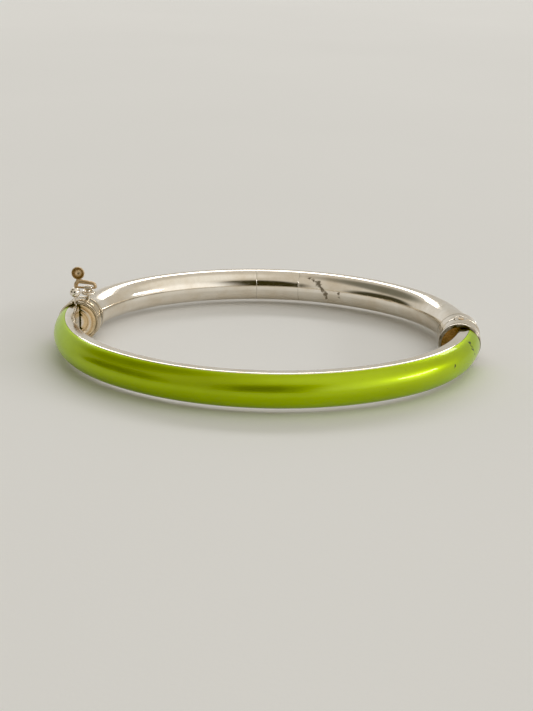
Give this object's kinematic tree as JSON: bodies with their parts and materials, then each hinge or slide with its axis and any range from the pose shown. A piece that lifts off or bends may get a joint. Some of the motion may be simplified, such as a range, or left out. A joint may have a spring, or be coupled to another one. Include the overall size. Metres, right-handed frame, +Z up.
{
  "type": "hinged bangle bracelet",
  "caption": "Oval hinged tube bangle with an enamelled front half, a tongue clasp with a press ball and a folding safety catch.",
  "frame": {"origin": "centre of the wrist opening, in the plane the bangle lies on", "axes": "+X towards the hinge, +Y towards the plain back half, +Z up out of the wrist opening"},
  "size_m": [0.0665, 0.0577, 0.0114],
  "materials": {
    "silver": "polished",
    "gilt": "worn gilt",
    "tarnished": "tarnished",
    "enamel": "gloss"
  },
  "bodies": {
    "back_half": {"tube_clasp_side": "silver", "tube_middle": "silver", "tube_hinge_side": "silver", "clasp_collar": "silver", "clasp_mouth_plate": "gilt", "hinge_collar_rear": "silver", "hinge_plate_rear": "gilt", "knuckle_upper": "silver", "knuckle_lower": "silver", "hinge_pin": "tarnished", "catch_eyelet": "silver"},
    "front_half": {"front_channel": "silver", "front_inner_wall": "silver", "enamel": "enamel", "hinge_collar_front": "silver", "hinge_plate_front": "gilt", "knuckle_middle": "silver", "clasp_end_plate": "silver", "clasp_tongue": "silver"},
    "press": {"press_leaf": "silver", "press_ball": "silver"},
    "catch": {"safety_catch": "tarnished"}
  },
  "joints": [
    {"name": "bangle_open", "type": "hinge", "parent": "back_half", "child": "front_half", "pos_m": [0.03, 0, 0.00325], "axis": [0, 0, 1], "range_deg": [0, 38]},
    {"name": "clasp_press", "type": "slide", "parent": "front_half", "child": "press", "axis": [0, 0, 1], "range_m": [-0.0003, 0], "stiffness_N_per_m": 200, "springref_m": 0.0003},
    {"name": "catch_swing", "type": "hinge", "parent": "back_half", "child": "catch", "pos_m": [-0.0289, 0.003, 0.00805], "axis": [1, 0, 0], "range_deg": [-95, 93.7]}
  ]
}
